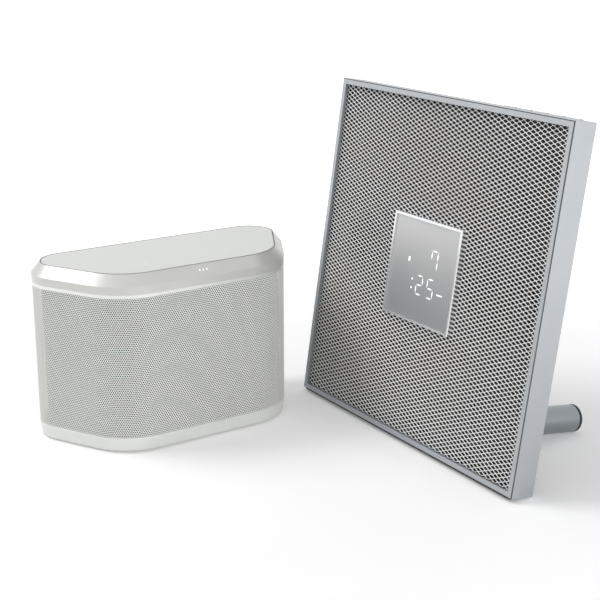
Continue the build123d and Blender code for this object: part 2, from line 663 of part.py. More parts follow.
# Drivers
with BuildPart() as panel_woofer_frames:
    basket(PANEL_FLANGE, PANEL_CONE, PANEL_DRIVER_DEPTH, PANEL_MAGNET)
with BuildPart() as panel_woofer_magnets:
    pot_magnet(PANEL_DRIVER_DEPTH, PANEL_MAGNET, PANEL_MAGNET_THICK)
with BuildPart() as panel_tweeters:
    dome_tweeter(PANEL_TWEETER_PLATE, PANEL_TWEETER_BODY, PANEL_TWEETER_DEPTH)


def pair_of(driver, places):
    """The same driver at two places on the baffle, as separate solids."""
    with BuildPart() as both:
        with Locations([Location((x, BAFFLE_FRONT, z), FACING_FRONT) for x, z in places]):
            add(driver.part)
    return both


woofer_frames = pair_of(panel_woofer_frames, driver_places)
woofer_frames.part.label = "panel_woofer_frames"
place(woofer_frames, PANEL)
woofer_magnets = pair_of(panel_woofer_magnets, driver_places)
woofer_magnets.part.label = "panel_woofer_magnets"
place(woofer_magnets, PANEL)
tweeters = pair_of(panel_tweeters, tweeter_places)
tweeters.part.label = "panel_tweeters"
place(tweeters, PANEL)

for (x, z), name in zip(driver_places, ("left", "right")):
    with BuildPart() as panel_cone:
        moving_cone(PANEL_CONE, PANEL_DRIVER_DEPTH)
    panel_cone.part.label = f"panel_woofer_cone_{name}"
    place(panel_cone, PANEL * Location((x, BAFFLE_FRONT, z), FACING_FRONT))

# Display: bezel, window, light bars and board
window_back = DISPLAY_RECESS + WINDOW_THICK
display_inside = DISPLAY - 2 * DISPLAY_BEZEL
display_ledge = display_inside - 2 * DISPLAY_LEDGE
board_in_display = display_ledge - 2 * SNUG
light_back = BAFFLE_FRONT - BOARD_THICK
with BuildPart() as panel_display_bezel:
    square_ring(DISPLAY, display_inside, 0, window_back)
    square_ring(DISPLAY, display_ledge, window_back, BAFFLE_FRONT)
    chamfer(panel_display_bezel.faces().sort_by(Axis.Y)[0].outer_wire().edges(), 0.4)
panel_display_bezel.part.label = "panel_display_bezel"
place(panel_display_bezel, PANEL)

with BuildPart() as panel_display_window:
    half = display_inside / 2 - SNUG
    block((-half, half), (DISPLAY_RECESS, window_back), (panel_middle - half, panel_middle + half))
panel_display_window.part.label = "panel_display_window"
place(panel_display_window, PANEL)

with BuildPart() as panel_display_board:
    half = board_in_display / 2
    block((-half, half), (light_back, BAFFLE_FRONT), (panel_middle - half, panel_middle + half))
panel_display_board.part.label = "panel_display_board"
place(panel_display_board, PANEL)

# Light bars of four seven-segment digits, behind the window
DIGIT_WIDE = 10.0
DIGIT_HIGH = 17.0
BAR = 1.6
BAR_GAP = 0.5
DIGIT_PLACES = ((4.0, 12.5), (14.0, 12.5), (-1.3, -12.0), (13.1, -12.0))
COLON_PLACES = ((-11.4, -8.5), (-11.4, -16.2))
with BuildPart() as panel_display_lights:
    for x, z in DIGIT_PLACES:
        middle = panel_middle + z
        for height in (-DIGIT_HIGH / 2, 0, DIGIT_HIGH / 2):
            block((x - DIGIT_WIDE / 2 + BAR + BAR_GAP, x + DIGIT_WIDE / 2 - BAR - BAR_GAP),
                  (window_back, light_back), (middle + height - BAR / 2, middle + height + BAR / 2))
    for x, z in COLON_PLACES:
        rod(x, panel_middle + z, BAR / 2, window_back, light_back)
panel_display_lights.part.label = "panel_display_lights"
place(panel_display_lights, PANEL)

# Rear cover: a plate inside the frame, and a hump for the drivers and the boards
hump_inside = COVER_DEPTH - COVER_WALL
hump_middle = (COVER_LOW + COVER_HIGH) / 2
hump_high = COVER_HIGH - COVER_LOW
NUT_RADIUS = 8.0
NUT_LENGTH = 8.5
KEYHOLE_ACROSS = 60.0
KEYHOLE_HEIGHT = 226.0
KEYHOLE_HEAD = 4.5
KEYHOLE_NECK = 2.4
KEYHOLE_RUN = 10.0
WALL_PLATE = (150.0, 30.0, 1.2)
PANEL_BOARD = ((-52.0, 52.0), (22.0, 110.0))
AMPLIFIER_BOARD = ((-50.0, 50.0), (150.0, 206.0))
PANEL_CHIPS = (((-30, -6), (76, 100), 1.8), ((4, 16), (80, 96), 1.2))
CAPACITORS_ACROSS = (-24.0, -8.0, 8.0, 24.0)
CAPACITORS_HEIGHT = 194.0
CAPACITOR_LONG = 10.0
FIN_HEIGHTS = (162.0, 168.0, 174.0)   # heat sink on the amplifier board
FIN_HALF = 30.0
FIN_DEEP = 8.0
FIN_THICK = 2.5
PANEL_BOARD_BACK = 29.6
AMPLIFIER_BOARD_BACK = 35.6
SOCKETS_HEIGHT = 38.0
SOCKET_PLATE = ((-44.0, 48.0), (30.2, 46.0))
PANEL_NETWORK = -34.0
PANEL_USB = -13.0
PANEL_AUX = 6.0
PANEL_OPTICAL = 22.0
PANEL_POWER = 40.0
USB_SIZE = (14.5, 7.2)
USB_OPENING = (12.4, 5.2)
AUX_SIZE = (9.0, 9.0)
AUX_BORE = 1.8
OPTICAL_SIZE = (10.0, 10.0)
OPTICAL_OPENING = (6.4, 6.4)
POWER_SIZE = (11.0, 11.0)
POWER_BORE = 3.0
CONNECT_HEIGHT = 62.0
CONNECT_ACROSS = 22.0
BAY_MARGIN = 12.0
BUTTON_BAY = (BUTTON_FIRST - BAY_MARGIN, inside / 2)
BAY_DEEP = 8.0


def keyhole(x, front, back):
    """A keyhole through a sheet: a round hole for a screw's head, and a slot above it."""
    rod(x, KEYHOLE_HEIGHT, KEYHOLE_HEAD, front, back, Mode.SUBTRACT)
    rod(x, KEYHOLE_HEIGHT + KEYHOLE_RUN, KEYHOLE_NECK, front, back, Mode.SUBTRACT)
    block((x - KEYHOLE_NECK, x + KEYHOLE_NECK), (front, back),
          (KEYHOLE_HEIGHT, KEYHOLE_HEIGHT + KEYHOLE_RUN), Mode.SUBTRACT)


panel_sockets = (
    (PANEL_NETWORK, NETWORK_SIZE), (PANEL_USB, USB_SIZE), (PANEL_AUX, AUX_SIZE),
    (PANEL_OPTICAL, OPTICAL_SIZE), (PANEL_POWER, POWER_SIZE),
)
plate_wide, plate_high, plate_thick = WALL_PLATE

with BuildPart() as panel_rear_cover:
    half = inside / 2
    block((-half, half), (plate_front, FRAME_DEPTH), (panel_middle - half, panel_middle + half))
    square_ring(inside, inside - 2 * RIM_WIDE, baffle_back, plate_front)
    with BuildSketch(Plane.XZ.offset(-FRAME_DEPTH)) as hump:
        with Locations((0, hump_middle)):
            RectangleRounded(2 * COVER_HALF, hump_high, COVER_CORNER)
    extrude(hump.sketch, amount=-(COVER_DEPTH - FRAME_DEPTH))
    chamfer(panel_rear_cover.faces().sort_by(Axis.Y)[-1].outer_wire().edges(), 1.5)
    with BuildSketch(Plane.XZ.offset(-plate_front)) as hollow:
        with Locations((0, hump_middle)):
            RectangleRounded(2 * (COVER_HALF - COVER_WALL), hump_high - 2 * COVER_WALL,
                             COVER_CORNER - COVER_WALL)
    extrude(hollow.sketch, amount=-(hump_inside - plate_front), mode=Mode.SUBTRACT)
    for x, z in board_corners(PANEL_BOARD):
        rod(x, z, BOSS_RADIUS, PANEL_BOARD_BACK, hump_inside)
    for x, z in board_corners(AMPLIFIER_BOARD):
        rod(x, z, BOSS_RADIUS, AMPLIFIER_BOARD_BACK, hump_inside)
    for x in (-LEG_ACROSS, LEG_ACROSS):
        rod(x, leg_height, NUT_RADIUS, hump_inside - NUT_LENGTH, hump_inside)
        rod(x, leg_height, STUD_RADIUS + SNUG, COVER_DEPTH - STUD_LENGTH, COVER_DEPTH, Mode.SUBTRACT)
    for x, z in panel_screw_places:
        rod(x, z, BOSS_RADIUS + 0.5, baffle_back, plate_front)
        rod(x, z, SCREW_RADIUS + SNUG, baffle_back, FRAME_DEPTH, Mode.SUBTRACT)
        rod(x, z, HEAD_RADIUS + SNUG, FRAME_DEPTH - HEAD_THICK, FRAME_DEPTH, Mode.SUBTRACT)
    (left, right), (low, high) = SOCKET_PLATE
    block((left - SNUG, right + SNUG), (hump_inside, COVER_DEPTH), (low - SNUG, high + SNUG),
          Mode.SUBTRACT)
    rod(CONNECT_ACROSS, CONNECT_HEIGHT, PRESS_RADIUS + LOOSE, hump_inside, COVER_DEPTH, Mode.SUBTRACT)
    with Locations((0, COVER_DEPTH - plate_thick / 2, KEYHOLE_HEIGHT + KEYHOLE_RUN / 2)):
        Box(plate_wide + 2 * SNUG, plate_thick, plate_high + 2 * SNUG, mode=Mode.SUBTRACT)
    for x in (-KEYHOLE_ACROSS, KEYHOLE_ACROSS):
        keyhole(x, hump_inside, COVER_DEPTH)
    block(BUTTON_BAY, (baffle_back, plate_front), (BUTTON_BOARD_TOP - BAY_DEEP, SIDE), Mode.SUBTRACT)
panel_rear_cover.part.label = "panel_rear_cover"
place(panel_rear_cover, PANEL)

# The sockets come through a plate of their own, set flush in the back of the hump
with BuildPart() as panel_socket_plate:
    (left, right), (low, high) = SOCKET_PLATE
    block((left, right), (hump_inside, COVER_DEPTH), (low, high))
    chamfer(panel_socket_plate.faces().sort_by(Axis.Y)[-1].edges(), 0.4)
    for x, size in panel_sockets:
        half_wide = size[0] / 2 + SNUG
        half_high = size[1] / 2 + SNUG
        block((x - half_wide, x + half_wide), (hump_inside, COVER_DEPTH),
              (SOCKETS_HEIGHT - half_high, SOCKETS_HEIGHT + half_high), Mode.SUBTRACT)
panel_socket_plate.part.label = "panel_socket_plate"
place(panel_socket_plate, PANEL)

with BuildPart() as panel_wall_plate:
    with Locations((0, COVER_DEPTH - plate_thick / 2, KEYHOLE_HEIGHT + KEYHOLE_RUN / 2)):
        Box(plate_wide, plate_thick, plate_high)
    for x in (-KEYHOLE_ACROSS, KEYHOLE_ACROSS):
        keyhole(x, COVER_DEPTH - plate_thick, COVER_DEPTH)
panel_wall_plate.part.label = "panel_wall_plate"
place(panel_wall_plate, PANEL)

with BuildPart() as panel_screws:
    for x, z in panel_screw_places:
        screw(x, z, FRAME_DEPTH, FRAME_DEPTH - HEAD_THICK - baffle_back + PANEL_SCREW_BITE)
panel_screws.part.label = "panel_screws"
place(panel_screws, PANEL)

# Boards and sockets
with BuildPart() as panel_main_board:
    (left, right), (low, high) = PANEL_BOARD
    front = PANEL_BOARD_BACK - BOARD_THICK
    block((left, right), (front, PANEL_BOARD_BACK), (low, high))
    for x, z, high in PANEL_CHIPS:
        block(x, (PANEL_BOARD_BACK, PANEL_BOARD_BACK + high), z)
    block((CONNECT_ACROSS - SWITCH_HALF, CONNECT_ACROSS + SWITCH_HALF),
          (PANEL_BOARD_BACK, PANEL_BOARD_BACK + SWITCH_THICK),
          (CONNECT_HEIGHT - SWITCH_HALF, CONNECT_HEIGHT + SWITCH_HALF))
panel_main_board.part.label = "panel_main_board"
place(panel_main_board, PANEL)

with BuildPart() as panel_amplifier_board:
    (left, right), (low, high) = AMPLIFIER_BOARD
    front = AMPLIFIER_BOARD_BACK - BOARD_THICK
    block((left, right), (front, AMPLIFIER_BOARD_BACK), (low, high))
    for x in CAPACITORS_ACROSS:
        rod(x, CAPACITORS_HEIGHT, CAPACITOR_RADIUS, front - CAPACITOR_LONG, front)
    for z in FIN_HEIGHTS:
        block((-FIN_HALF, FIN_HALF), (front - FIN_DEEP, front), (z, z + FIN_THICK))
panel_amplifier_board.part.label = "panel_amplifier_board"
place(panel_amplifier_board, PANEL)


def socket_body(x, size):
    """A socket's block between the main board and the back of the hump."""
    wide, high = size
    block((x - wide / 2, x + wide / 2), (PANEL_BOARD_BACK, COVER_DEPTH),
          (SOCKETS_HEIGHT - high / 2, SOCKETS_HEIGHT + high / 2))


def socket_mouth(x, size, depth, mode=Mode.SUBTRACT):
    """A rectangular mouth in a socket."""
    wide, high = size
    block((x - wide / 2, x + wide / 2), (COVER_DEPTH - depth, COVER_DEPTH),
          (SOCKETS_HEIGHT - high / 2, SOCKETS_HEIGHT + high / 2), mode)


with BuildPart() as panel_network_jack:
    network_socket(PANEL_NETWORK, SOCKETS_HEIGHT, PANEL_BOARD_BACK, COVER_DEPTH)
panel_network_jack.part.label = "panel_network_jack"
place(panel_network_jack, PANEL)

with BuildPart() as panel_usb_jack:
    socket_body(PANEL_USB, USB_SIZE)
    socket_mouth(PANEL_USB, USB_OPENING, SOCKET_DEPTH)
    block((PANEL_USB - 5.4, PANEL_USB + 5.4), (COVER_DEPTH - SOCKET_DEPTH, COVER_DEPTH - 1),
          (SOCKETS_HEIGHT + 0.3, SOCKETS_HEIGHT + 1.9))
panel_usb_jack.part.label = "panel_usb_jack"
place(panel_usb_jack, PANEL)

with BuildPart() as panel_aux_jack:
    socket_body(PANEL_AUX, AUX_SIZE)
    rod(PANEL_AUX, SOCKETS_HEIGHT, AUX_BORE, COVER_DEPTH - 14, COVER_DEPTH, Mode.SUBTRACT)
panel_aux_jack.part.label = "panel_aux_jack"
place(panel_aux_jack, PANEL)

with BuildPart() as panel_optical_jack:
    socket_body(PANEL_OPTICAL, OPTICAL_SIZE)
    socket_mouth(PANEL_OPTICAL, OPTICAL_OPENING, 8)
panel_optical_jack.part.label = "panel_optical_jack"
place(panel_optical_jack, PANEL)

POWER_DEPTH = 10.0
POWER_PIN = 1.0
with BuildPart() as panel_power_inlet:
    socket_body(PANEL_POWER, POWER_SIZE)
    rod(PANEL_POWER, SOCKETS_HEIGHT, POWER_BORE, COVER_DEPTH - POWER_DEPTH, COVER_DEPTH, Mode.SUBTRACT)
    rod(PANEL_POWER, SOCKETS_HEIGHT, POWER_PIN, COVER_DEPTH - POWER_DEPTH, COVER_DEPTH - PIN_SUNK)
panel_power_inlet.part.label = "panel_power_inlet"
place(panel_power_inlet, PANEL)

connect_front = PANEL_BOARD_BACK + SWITCH_THICK + SWITCH_GAP
with BuildPart() as panel_connect_button:
    rod(CONNECT_ACROSS, CONNECT_HEIGHT, PRESS_RADIUS, connect_front, COVER_DEPTH + BUTTON_PROUD)
    rod(CONNECT_ACROSS, CONNECT_HEIGHT, PRESS_RADIUS + 1, connect_front, connect_front + 1.5)
panel_connect_button.part.label = "panel_connect_button"
place(panel_connect_button, PANEL)

# Top buttons, in slots through the frame, over their switch board
button_low = SWITCH_TOP + SWITCH_GAP
for x, name in zip(button_across, ("power", "source", "volume_down", "volume_up", "play")):
    with BuildPart() as top_button:
        block((x - BUTTON_LONG / 2, x + BUTTON_LONG / 2),
              (button_middle - BUTTON_WIDE / 2, button_middle + BUTTON_WIDE / 2),
              (frame_inside_top - BUTTON_FOOT, SIDE + BUTTON_PROUD))
        block((x - BUTTON_FOOT, x + BUTTON_FOOT),
              (button_middle - BUTTON_WIDE / 2, button_middle + BUTTON_WIDE / 2),
              (button_low, frame_inside_top - BUTTON_FOOT))
        fillet(top_button.edges().group_by(Axis.Z)[-1], 0.4)
    top_button.part.label = f"panel_{name}_button"
    place(top_button, PANEL)

with BuildPart() as panel_button_board:
    block((BUTTON_FIRST - 10, button_across[-1] + 10), (baffle_back, plate_front),
          (BUTTON_BOARD_TOP - BOARD_THICK, BUTTON_BOARD_TOP))
    for x in button_across:
        block((x - 2.5, x + 2.5), (baffle_back + 0.4, plate_front - 0.4), (BUTTON_BOARD_TOP, SWITCH_TOP))
panel_button_board.part.label = "panel_button_board"
place(panel_button_board, PANEL)

# Legs: two round bars screwed square into the back, with rubber ends
leg_end = LEG_REACH - LEG_CAP
for x, name in ((-LEG_ACROSS, "left"), (LEG_ACROSS, "right")):
    with BuildPart() as leg:
        rod(x, leg_height, LEG_RADIUS, COVER_DEPTH, leg_end)
        rod(x, leg_height, STUD_RADIUS, COVER_DEPTH - STUD_LENGTH + 0.5, COVER_DEPTH)
    leg.part.label = f"panel_leg_{name}"
    place(leg, PANEL)

with BuildPart() as panel_leg_caps:
    for x in (-LEG_ACROSS, LEG_ACROSS):
        rod(x, leg_height, LEG_RADIUS, leg_end, LEG_REACH)
panel_leg_caps.part.label = "panel_leg_caps"
place(panel_leg_caps, PANEL)

with BuildPart() as panel_foot_strip:
    block((-SIDE / 2 + STRIP_SHORT, SIDE / 2 - STRIP_SHORT), (1, STRIP_BACK), (-STRIP_THICK, 0))
panel_foot_strip.part.label = "panel_foot_strip"
place(panel_foot_strip, PANEL)


# ================================= Export =================================
# The row's origin is the middle of its box, on the surface that it stands on.
box = Compound(row).bounding_box()
centre = Location((-(box.min.X + box.max.X) / 2, -(box.min.Y + box.max.Y) / 2, 0))

os.makedirs("parts", exist_ok=True)
for piece in row:
    label = piece.label
    standing = piece.moved(centre)
    standing.label = label
    export_step(standing, f"parts/{label}.step")
print(len(row), "pieces, box", box.size, "lowest", round(box.min.Z, 3))
print("centre moved by", centre.position, "leg height", round(leg_height, 2))
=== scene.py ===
# %% [markdown]
# # A table speaker and a panel player
# Two units make up this small hi-fi: a white table speaker wrapped in a perforated grille, and a
# square panel with an expanded-metal front that leans back on two legs. The CAD model already
# holds every part at its true size, so this lesson adds what CAD leaves plain: the two metal
# meshes, the lit digits, the touch panel's seal and marks, and a finish for each material.

# %% Load the frame
import json
import math

import bpy
from mathutils import Matrix, Vector


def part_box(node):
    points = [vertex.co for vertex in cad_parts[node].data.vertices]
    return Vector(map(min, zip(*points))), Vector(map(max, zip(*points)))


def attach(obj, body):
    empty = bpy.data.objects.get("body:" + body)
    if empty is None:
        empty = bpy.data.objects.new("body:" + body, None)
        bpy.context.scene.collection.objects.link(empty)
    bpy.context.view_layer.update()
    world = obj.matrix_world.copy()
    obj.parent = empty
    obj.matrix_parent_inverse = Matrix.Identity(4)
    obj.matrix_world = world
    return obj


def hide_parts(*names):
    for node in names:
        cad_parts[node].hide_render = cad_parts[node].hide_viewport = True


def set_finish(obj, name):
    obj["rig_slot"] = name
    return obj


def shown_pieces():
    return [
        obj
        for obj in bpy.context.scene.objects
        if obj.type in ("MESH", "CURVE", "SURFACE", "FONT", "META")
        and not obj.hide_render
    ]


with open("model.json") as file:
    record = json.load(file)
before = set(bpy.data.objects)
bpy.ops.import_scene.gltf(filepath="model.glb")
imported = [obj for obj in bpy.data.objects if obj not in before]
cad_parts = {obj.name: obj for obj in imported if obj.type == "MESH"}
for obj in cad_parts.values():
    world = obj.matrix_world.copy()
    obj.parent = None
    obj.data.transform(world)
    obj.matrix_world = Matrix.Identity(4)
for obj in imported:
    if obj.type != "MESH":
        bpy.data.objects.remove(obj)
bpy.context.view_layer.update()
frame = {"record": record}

# %% [markdown]
# ## Two frames of reference
# Each unit is easiest to model facing us, in millimetres, with x across it, y from its front to
# its back and z up. A seat is the matrix that carries such a model to its place in the row. The
# speaker stands square, so its seat only moves. The panel leans and faces sideways, and its seat
# is read from the mount on its back, whose place on the panel is known.

# %% Seats of the two units
MM = 0.001
ring_low, ring_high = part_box("speaker_top_ring")
SPEAKER_DEEP = (ring_high.y - ring_low.y) / MM
speaker_seat = Matrix.Translation(
    ((ring_low.x + ring_high.x) / 2, ring_low.y, 0)
) @ Matrix.Scale(MM, 4)

back_mount = next(m for m in frame["record"]["mounts"] if m["name"] == "panel_back")
BACK_MOUNT_AT = (0, 49, 100)
to_back = Vector(back_mount["axis"]).normalized()
to_right = Vector((0, -1, 0))
up_panel = to_right.cross(to_back)
panel_turn = Matrix((to_right, to_back, up_panel)).transposed()
panel_origin = Vector(back_mount["pos_m"]) - panel_turn @ Vector(BACK_MOUNT_AT) * MM
panel_seat = Matrix.LocRotScale(panel_origin, panel_turn.to_quaternion(), Vector((MM,) * 3))
print("panel leans", round(math.degrees(math.asin(up_panel.x)), 2), "degrees")

# %% Small tools for modelling
def clear_selection():
    """Leave edit mode and deselect every object."""
    if bpy.context.mode != "OBJECT":
        bpy.ops.object.mode_set(mode="OBJECT")
    bpy.ops.object.select_all(action="DESELECT")


def only(piece):
    """Make a piece the one selected, active object."""
    clear_selection()
    piece.select_set(True)
    bpy.context.view_layer.objects.active = piece


def added(name):
    """Name the primitive that was just added, and its mesh."""
    piece = bpy.context.active_object
    piece.name = piece.data.name = name
    return piece


def choose(piece, kind, test):
    """In edit mode, select the vertices, or the polygons by their middles, that pass a test."""
    bpy.ops.object.mode_set(mode="OBJECT")
    mesh = piece.data
    for group in (mesh.polygons, mesh.edges, mesh.vertices):
        group.foreach_set("select", [False] * len(group))
    for part in getattr(mesh, kind):
        place = part.co if kind == "vertices" else part.center
        part.select = bool(test(place))
    modes = {"vertices": "VERT", "polygons": "FACE"}
    bpy.ops.object.mode_set(mode="EDIT")
    bpy.ops.mesh.select_mode(type=modes[kind])


def edit(piece):
    """Open a piece for editing with everything in it selected."""
    only(piece)
    bpy.ops.object.mode_set(mode="EDIT")
    bpy.ops.mesh.select_all(action="SELECT")


def apply_all(piece):
    """Apply a piece's modifiers in order."""
    only(piece)
    for modifier in list(piece.modifiers):
        bpy.ops.object.modifier_apply(modifier=modifier.name)


def array(piece, count, step):
    """Repeat a piece along a step, as an applied Array."""
    rows = piece.modifiers.new("rows", "ARRAY")
    rows.use_relative_offset = False
    rows.use_constant_offset = True
    rows.constant_offset_displace = step
    rows.count = count
    apply_all(piece)


MERGE_WITHIN = 0.01


def merge(piece):
    """Merge vertices that lie together."""
    edit(piece)
    bpy.ops.mesh.remove_doubles(threshold=MERGE_WITHIN)
    bpy.ops.object.mode_set(mode="OBJECT")


def cut(piece, point, direction):
    """Slice a whole piece by a plane and drop the part on the side it faces."""
    edit(piece)
    bpy.ops.mesh.bisect(plane_co=point, plane_no=direction, clear_outer=True)
    bpy.ops.object.mode_set(mode="OBJECT")


def copy_of(piece, name):
    """A copy with its own mesh."""
    twin = piece.copy()
    twin.data = piece.data.copy()
    twin.name = twin.data.name = name
    bpy.context.scene.collection.objects.link(twin)
    return twin


def join(pieces, name):
    """Join pieces into the first one."""
    only(pieces[0])
    for piece in pieces[1:]:
        piece.select_set(True)
    bpy.ops.object.join()
    return added(name)


def bake_place(piece):
    """Put a piece's place, turn and scale into its mesh."""
    only(piece)
    bpy.ops.object.transform_apply(location=True, rotation=True, scale=True)


def thicken(piece, step):
    """Pull a flat piece along a step, with every face pointing outwards."""
    edit(piece)
    bpy.ops.mesh.extrude_region_move(TRANSFORM_OT_translate={"value": step})
    bpy.ops.mesh.select_all(action="SELECT")
    bpy.ops.mesh.normals_make_consistent(inside=False)
    bpy.ops.object.mode_set(mode="OBJECT")


def poly_curve(name, points, closed=False):
    """A curve of straight runs through points, added to the scene."""
    curve = bpy.data.curves.new(name, "CURVE")
    curve.dimensions = "3D"
    line = curve.splines.new("POLY")
    line.points.add(len(points) - 1)
    for point, at in zip(line.points, points):
        point.co = (*at, 1)
    line.use_cyclic_u = closed
    made = bpy.data.objects.new(name, curve)
    bpy.context.scene.collection.objects.link(made)
    return made


def settle(piece, seat, body, slot, replaced=()):
    """Carry a finished piece to its seat, and tell the frame what it is."""
    bpy.context.view_layer.update()
    piece.matrix_world = seat @ piece.matrix_world
    bake_place(piece)
    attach(piece, body)
    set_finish(piece, slot)
    for node in replaced:
        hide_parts(node)
    triangles = sum(len(face.vertices) - 2 for face in piece.data.polygons)
    print(piece.name, triangles, "triangles")


# %% [markdown]
# ## Expanded metal on the panel
# The panel's front is sheet metal that was slit and pulled open, so that every hole is a diamond
# and every strand leans like a louvre slat. One hole with the half strands round it is the whole
# design: its upper edge comes forward and its lower edge sinks back. The outside of the cell is
# a four-cornered circle, the hole a six-cornered one with blunt ends, and a bridge joins them.
# Arrays repeat the cell, which keeps thousands of strands down to one shape.

# %% One diamond cell
HOLE_WIDE = 8.1
HOLE_HIGH = 3.8
OPEN_SHARE = 0.86
BLUNT_AT = 0.76
STRAND_LEAN = 0.25
STRAND_THICK = 0.25
MESH_FRONT = 3.5
NEAR_MIDDLE = 0.5
ON_AXIS = 0.05
OFF_TIP = 0.1
UPRIGHT = (math.pi / 2, 0, 0)

clear_selection()
bpy.ops.mesh.primitive_circle_add(vertices=4, radius=1, rotation=UPRIGHT)
outside = added("cell_outside")
outside.scale = (HOLE_WIDE / 2, HOLE_HIGH / 2, 1)
clear_selection()
bpy.ops.mesh.primitive_circle_add(vertices=6, radius=1, rotation=UPRIGHT)
hole = added("cell_hole")
side_at = math.cos(math.radians(30))
hole.scale = (OPEN_SHARE * HOLE_WIDE / 2 * BLUNT_AT / side_at, OPEN_SHARE * HOLE_HIGH / 2, 1)
cell = join([outside, hole], "panel_expanded_mesh")
bake_place(cell)
edit(cell)
bpy.ops.mesh.bridge_edge_loops()
inside_x = OPEN_SHARE * HOLE_WIDE / 2
choose(cell, "vertices", lambda at: NEAR_MIDDLE < abs(at.x) < inside_x)
bpy.ops.transform.resize(value=(1, 1, 2 * (1 - BLUNT_AT)))
for side in (-1, 1):
    choose(
        cell, "vertices",
        lambda at: abs(at.x) < inside_x and ON_AXIS < side * at.z < HOLE_HIGH / 2 - OFF_TIP,
    )
    bpy.ops.transform.translate(value=(0, -side * STRAND_LEAN, 0))
bpy.ops.object.mode_set(mode="OBJECT")

# %% [markdown]
# A sheet of that metal is two cells side by side and half a step apart, repeated both ways and
# merged where they meet. The sheet is sliced square to slip under the frame's lip. Round the
# display only the strands that cross its edge are sliced, and what lies inside is deleted.

# %% The sheet
SHEET_HALF = 145.4
DISPLAY_HALF = 45.2
PANEL_MIDDLE = 148.0
REACH = HOLE_WIDE

across = math.ceil(2 * SHEET_HALF / HOLE_WIDE) + 1
up = math.ceil(2 * SHEET_HALF / HOLE_HIGH) + 1
neighbour = copy_of(cell, "neighbour")
neighbour.location = (HOLE_WIDE / 2, 0, HOLE_HIGH / 2)
expanded = join([cell, neighbour], "panel_expanded_mesh")
array(expanded, across, (HOLE_WIDE, 0, 0))
array(expanded, up, (0, 0, HOLE_HIGH))
first_x = -HOLE_WIDE * (across - 0.5) / 2
first_z = PANEL_MIDDLE - HOLE_HIGH * (up - 0.5) / 2
expanded.location = (first_x, MESH_FRONT, first_z)
bake_place(expanded)
merge(expanded)
middle = Vector((0, 0, PANEL_MIDDLE))
sides = [Vector(way) for way in ((1, 0, 0), (-1, 0, 0), (0, 0, 1), (0, 0, -1))]
for way in sides:
    cut(expanded, middle + way * SHEET_HALF, way)
for way in sides:
    edge = middle + way * DISPLAY_HALF
    choose(
        expanded, "polygons",
        lambda at: abs((at - edge).dot(way)) < REACH
        and max(abs(at.x), abs(at.z - PANEL_MIDDLE)) < DISPLAY_HALF + REACH,
    )
    bpy.ops.mesh.bisect(plane_co=edge, plane_no=way)
choose(expanded, "polygons", lambda at: max(abs(at.x), abs(at.z - PANEL_MIDDLE)) < DISPLAY_HALF)
bpy.ops.mesh.delete(type="FACE")
edit(expanded)
bpy.ops.mesh.normals_make_consistent(inside=False)
bpy.ops.object.mode_set(mode="OBJECT")
if expanded.data.polygons[0].normal.y > 0:
    expanded.data.flip_normals()
thick = expanded.modifiers.new("thickness", "SOLIDIFY")
thick.thickness = STRAND_THICK
thick.offset = -1
apply_all(expanded)
settle(expanded, panel_seat, "panel", "mesh_white", ["panel_mesh"])

# %% [markdown]
# ## The wrapped grille
# Round the speaker runs a thin sheet with small round holes in staggered rows. Staggered rows
# make each hole the middle of a hexagon, so the cell here is a hexagon with a smaller one cut
# out of it and pushed in for the sheet's thickness. It is repeated into a flat sheet, and a
# Curve modifier wraps the sheet round the speaker's outline, as the real one is wrapped. Three
# sheets share the way round, because one would hold too many faces.

# %% The outline that the grille follows
FRONT_WIDE = 160.0
BACK_WIDE = 287.5
FRONT_CORNER = 53.5
REAR_CORNER = 31.5
COVER_HALF = 80.1
GRILLE_INSET = 0.3
ARC_STEP = math.radians(2)


def outline(inset):
    """Points round the speaker from the rear cover's left edge, over the front, to its right edge."""
    lean = math.atan2((BACK_WIDE - FRONT_WIDE) / 2, SPEAKER_DEEP)
    half_turn = (math.pi / 2 - lean) / 2
    front_x = FRONT_WIDE / 2 - FRONT_CORNER * math.tan(half_turn)
    rear_x = BACK_WIDE / 2 - REAR_CORNER * math.tan(math.pi / 2 - half_turn)
    right = []
    for middle, radius, start, end in (
        ((front_x, FRONT_CORNER), FRONT_CORNER, -math.pi / 2, -lean),
        ((rear_x, SPEAKER_DEEP - REAR_CORNER), REAR_CORNER, -lean, math.pi / 2),
    ):
        steps = math.ceil((end - start) / ARC_STEP)
        for i in range(steps + 1):
            angle = start + (end - start) * i / steps
            right.append(Vector((
                middle[0] + (radius - inset) * math.cos(angle),
                middle[1] + (radius - inset) * math.sin(angle), 0,
            )))
    right.append(Vector((COVER_HALF, SPEAKER_DEEP - inset, 0)))
    left = [Vector((-point.x, point.y, 0)) for point in reversed(right)]
    return left + right


path_points = outline(GRILLE_INSET)
path_length = sum((b - a).length for a, b in zip(path_points, path_points[1:]))
path = poly_curve("grille_path", path_points)
path.data.twist_mode = "Z_UP"
print("the grille is", round(path_length, 1), "mm round")

# %% Three perforated sheets
HOLE_STEP = 1.9
HOLE_SHARE = 0.64
SHEET_THICK = 0.3
GRILLE_LOW = 14.0
GRILLE_HIGH = 137.6
END_GAP = 0.1
hexagon = HOLE_STEP / math.sqrt(3)
row_step = 1.5 * hexagon
columns = math.ceil(path_length / HOLE_STEP / 3)
pairs = math.ceil((GRILLE_HIGH - GRILLE_LOW) / row_step / 2) + 1

